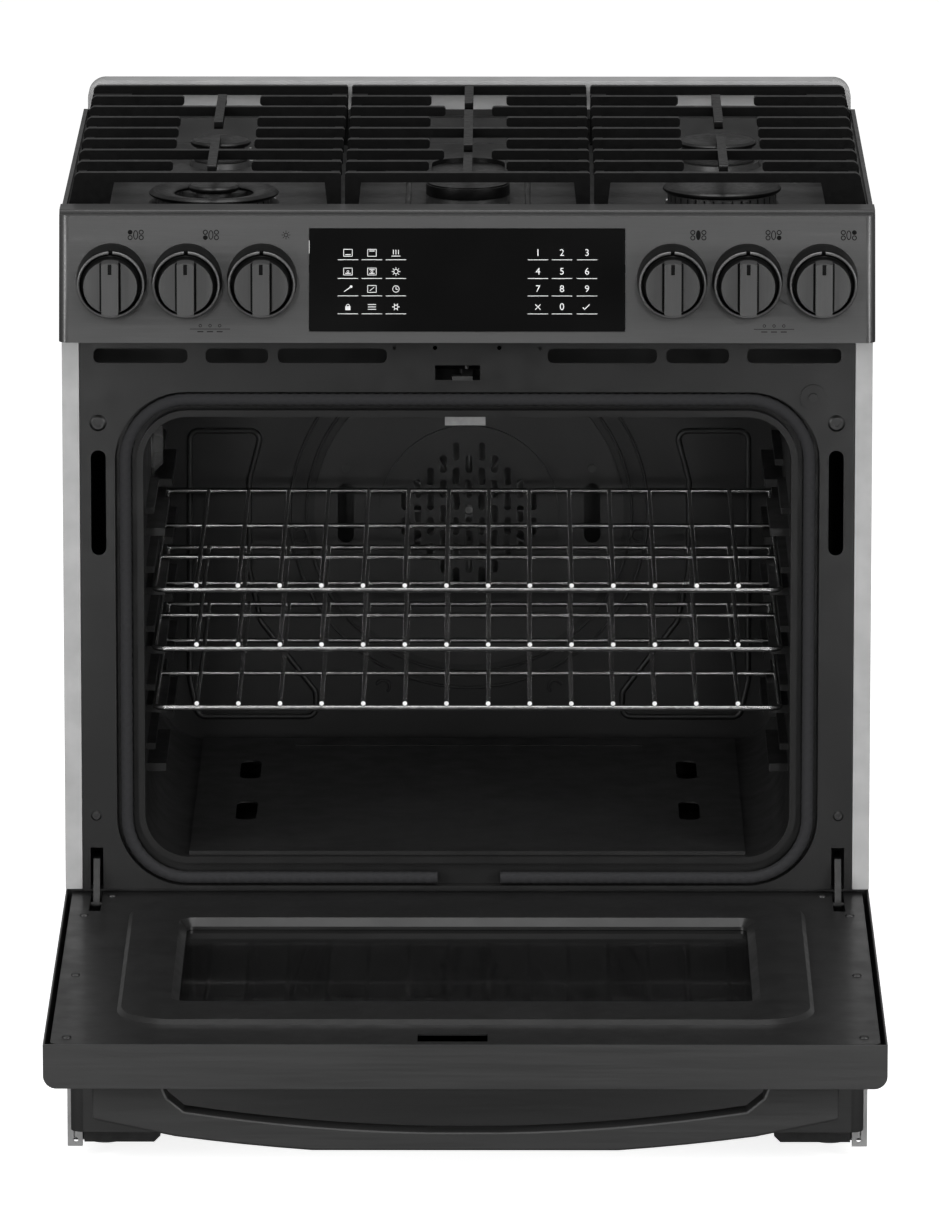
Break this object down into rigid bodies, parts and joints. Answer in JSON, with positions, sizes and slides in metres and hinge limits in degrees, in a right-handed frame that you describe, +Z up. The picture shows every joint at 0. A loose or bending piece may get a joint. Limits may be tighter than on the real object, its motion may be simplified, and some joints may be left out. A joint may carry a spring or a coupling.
{
  "type": "freestanding gas range",
  "caption": "Freestanding gas range with sealed burners under cast grates, front knobs, a convection oven with sliding racks and a drop-down door, and a storage drawer.",
  "frame": {"origin": "on the floor, at the middle of the width, straight below the front face of the oven frame", "axes": "+Z up, the front faces -Y, +X is to the right as seen from the front"},
  "size_m": [0.759, 1.2006, 0.9327],
  "materials": {
    "panel_light": "satin light grey paint",
    "galvanised": "dull galvanised sheet",
    "slate": "satin dark slate finish",
    "enamel": "gloss dark enamel",
    "cooktop_enamel": "satin dark enamel",
    "cast_iron": "matte black",
    "cap_enamel": "satin black enamel",
    "burner_alloy": "dull cast",
    "display_glass": "black glass",
    "knob": "satin dark",
    "bezel": "satin dark",
    "brass": "machined",
    "steel": "plain",
    "dark_steel": "black oxide",
    "chrome_wire": "bright plated wire",
    "board": "circuit board",
    "ceramic": "unglazed white",
    "lamp_glass": "frosted",
    "window_glass": "dark tinted",
    "insulation": "black-faced glass wool",
    "gasket": "braided black",
    "black_plastic": "matte",
    "fan_steel": "plain",
    "drawer_steel": "grey paint"
  },
  "bodies": {
    "chassis": {"side_panel_left": "panel_light", "side_panel_right": "panel_light", "back_panel": "galvanised", "base_frame": "dark_steel", "leveling_legs": "steel", "cooktop": "cooktop_enamel", "rear_trim": "panel_light", "control_panel": "slate", "display_glass": "display_glass", "control_board": "board", "knob_bezels": "bezel", "gas_manifold": "steel", "burner_valves": "brass", "gas_regulator": "fan_steel", "burner_heads": "burner_alloy", "burner_caps": "cap_enamel", "igniters": "ceramic", "front_frame": "enamel", "oven_liner": "enamel", "oven_floor": "enamel", "fan_cover": "enamel", "fan_motor": "steel", "bake_burner": "steel", "broil_burner": "steel", "oven_sensor": "steel", "oven_lamp": "lamp_glass", "insulation_wrap": "insulation", "door_gasket": "gasket", "hinge_arms": "dark_steel", "chassis_screws": "dark_steel", "power_inlet": "black_plastic"},
    "door": {"door_skin": "slate", "door_liner": "enamel", "door_inner_glass": "window_glass", "door_outer_glass": "window_glass", "door_handle": "slate", "door_screws": "dark_steel", "hinge_channels": "dark_steel"},
    "drawer": {"drawer_front": "slate", "drawer_tray": "drawer_steel"},
    "fan": {"convection_fan": "fan_steel"},
    "latch": {"door_latch": "dark_steel"},
    "switch": {"door_switch": "black_plastic"},
    "light_knob": {"oven_light_knob": "knob"},
    "rack_upper": {"rack_upper": "chrome_wire"},
    "rack_middle": {"rack_middle": "chrome_wire"},
    "rack_lower": {"rack_lower": "chrome_wire"},
    "grate_left": {"grate_left": "cast_iron"},
    "grate_center": {"grate_center": "cast_iron"},
    "grate_right": {"grate_right": "cast_iron"},
    "stem_left_outer": {"stem_left_outer": "brass"},
    "knob_left_outer": {"knob_left_outer": "knob"},
    "stem_left_middle": {"stem_left_middle": "brass"},
    "knob_left_middle": {"knob_left_middle": "knob"},
    "stem_right_inner": {"stem_right_inner": "brass"},
    "knob_right_inner": {"knob_right_inner": "knob"},
    "stem_right_middle": {"stem_right_middle": "brass"},
    "knob_right_middle": {"knob_right_middle": "knob"},
    "stem_right_outer": {"stem_right_outer": "brass"},
    "knob_right_outer": {"knob_right_outer": "knob"}
  },
  "joints": [
    {"name": "door_hinge", "type": "hinge", "parent": "chassis", "child": "door", "pos_m": [0, -0.0134, 0.2499], "axis": [1, 0, 0], "range_deg": [-91.2, 0]},
    {"name": "drawer_slide", "type": "slide", "parent": "chassis", "child": "drawer", "axis": [0, -1, 0], "range_m": [0, 0.38]},
    {"name": "fan_spin", "type": "hinge", "parent": "chassis", "child": "fan", "pos_m": [0, 0.54, 0.52], "axis": [0, 1, 0], "continuous": true},
    {"name": "latch_swing", "type": "hinge", "parent": "chassis", "child": "latch", "pos_m": [0, 0.018, 0.756], "axis": [0, 0, -1], "range_deg": [0, 25]},
    {"name": "switch_press", "type": "slide", "parent": "chassis", "child": "switch", "axis": [0, 1, 0], "range_m": [0, 0.003], "stiffness_N_per_m": 400, "springref_m": -0.002},
    {"name": "light_knob_turn", "type": "hinge", "parent": "chassis", "child": "light_knob", "pos_m": [-0.1905, -0.03154, 0.85045], "axis": [0, -1, 0], "range_deg": [0, 90]},
    {"name": "rack_upper_slide", "type": "slide", "parent": "chassis", "child": "rack_upper", "axis": [0, -1, 0], "range_m": [0, 0.35]},
    {"name": "rack_middle_slide", "type": "slide", "parent": "chassis", "child": "rack_middle", "axis": [0, -1, 0], "range_m": [0, 0.35]},
    {"name": "rack_lower_slide", "type": "slide", "parent": "chassis", "child": "rack_lower", "axis": [0, -1, 0], "range_m": [0, 0.35]},
    {"name": "grate_left_lift", "type": "slide", "parent": "chassis", "child": "grate_left", "axis": [0, 0, 1], "range_m": [0, 0.12]},
    {"name": "grate_center_lift", "type": "slide", "parent": "chassis", "child": "grate_center", "axis": [0, 0, 1], "range_m": [0, 0.12]},
    {"name": "grate_right_lift", "type": "slide", "parent": "chassis", "child": "grate_right", "axis": [0, 0, 1], "range_m": [0, 0.12]},
    {"name": "left_outer_push", "type": "slide", "parent": "chassis", "child": "stem_left_outer", "axis": [0, 1, 0], "range_m": [0, 0.003], "stiffness_N_per_m": 1200, "springref_m": -0.002},
    {"name": "left_outer_turn", "type": "hinge", "parent": "stem_left_outer", "child": "knob_left_outer", "pos_m": [-0.3303, -0.03154, 0.85045], "axis": [0, -1, 0], "range_deg": [0, 270]},
    {"name": "left_middle_push", "type": "slide", "parent": "chassis", "child": "stem_left_middle", "axis": [0, 1, 0], "range_m": [0, 0.003], "stiffness_N_per_m": 1200, "springref_m": -0.002},
    {"name": "left_middle_turn", "type": "hinge", "parent": "stem_left_middle", "child": "knob_left_middle", "pos_m": [-0.2604, -0.03154, 0.85045], "axis": [0, -1, 0], "range_deg": [0, 270]},
    {"name": "right_inner_push", "type": "slide", "parent": "chassis", "child": "stem_right_inner", "axis": [0, 1, 0], "range_m": [0, 0.003], "stiffness_N_per_m": 1200, "springref_m": -0.002},
    {"name": "right_inner_turn", "type": "hinge", "parent": "stem_right_inner", "child": "knob_right_inner", "pos_m": [0.1905, -0.03154, 0.85045], "axis": [0, -1, 0], "range_deg": [0, 270]},
    {"name": "right_middle_push", "type": "slide", "parent": "chassis", "child": "stem_right_middle", "axis": [0, 1, 0], "range_m": [0, 0.003], "stiffness_N_per_m": 1200, "springref_m": -0.002},
    {"name": "right_middle_turn", "type": "hinge", "parent": "stem_right_middle", "child": "knob_right_middle", "pos_m": [0.2604, -0.03154, 0.85045], "axis": [0, -1, 0], "range_deg": [0, 270]},
    {"name": "right_outer_push", "type": "slide", "parent": "chassis", "child": "stem_right_outer", "axis": [0, 1, 0], "range_m": [0, 0.003], "stiffness_N_per_m": 1200, "springref_m": -0.002},
    {"name": "right_outer_turn", "type": "hinge", "parent": "stem_right_outer", "child": "knob_right_outer", "pos_m": [0.3303, -0.03154, 0.85045], "axis": [0, -1, 0], "range_deg": [0, 270]}
  ]
}
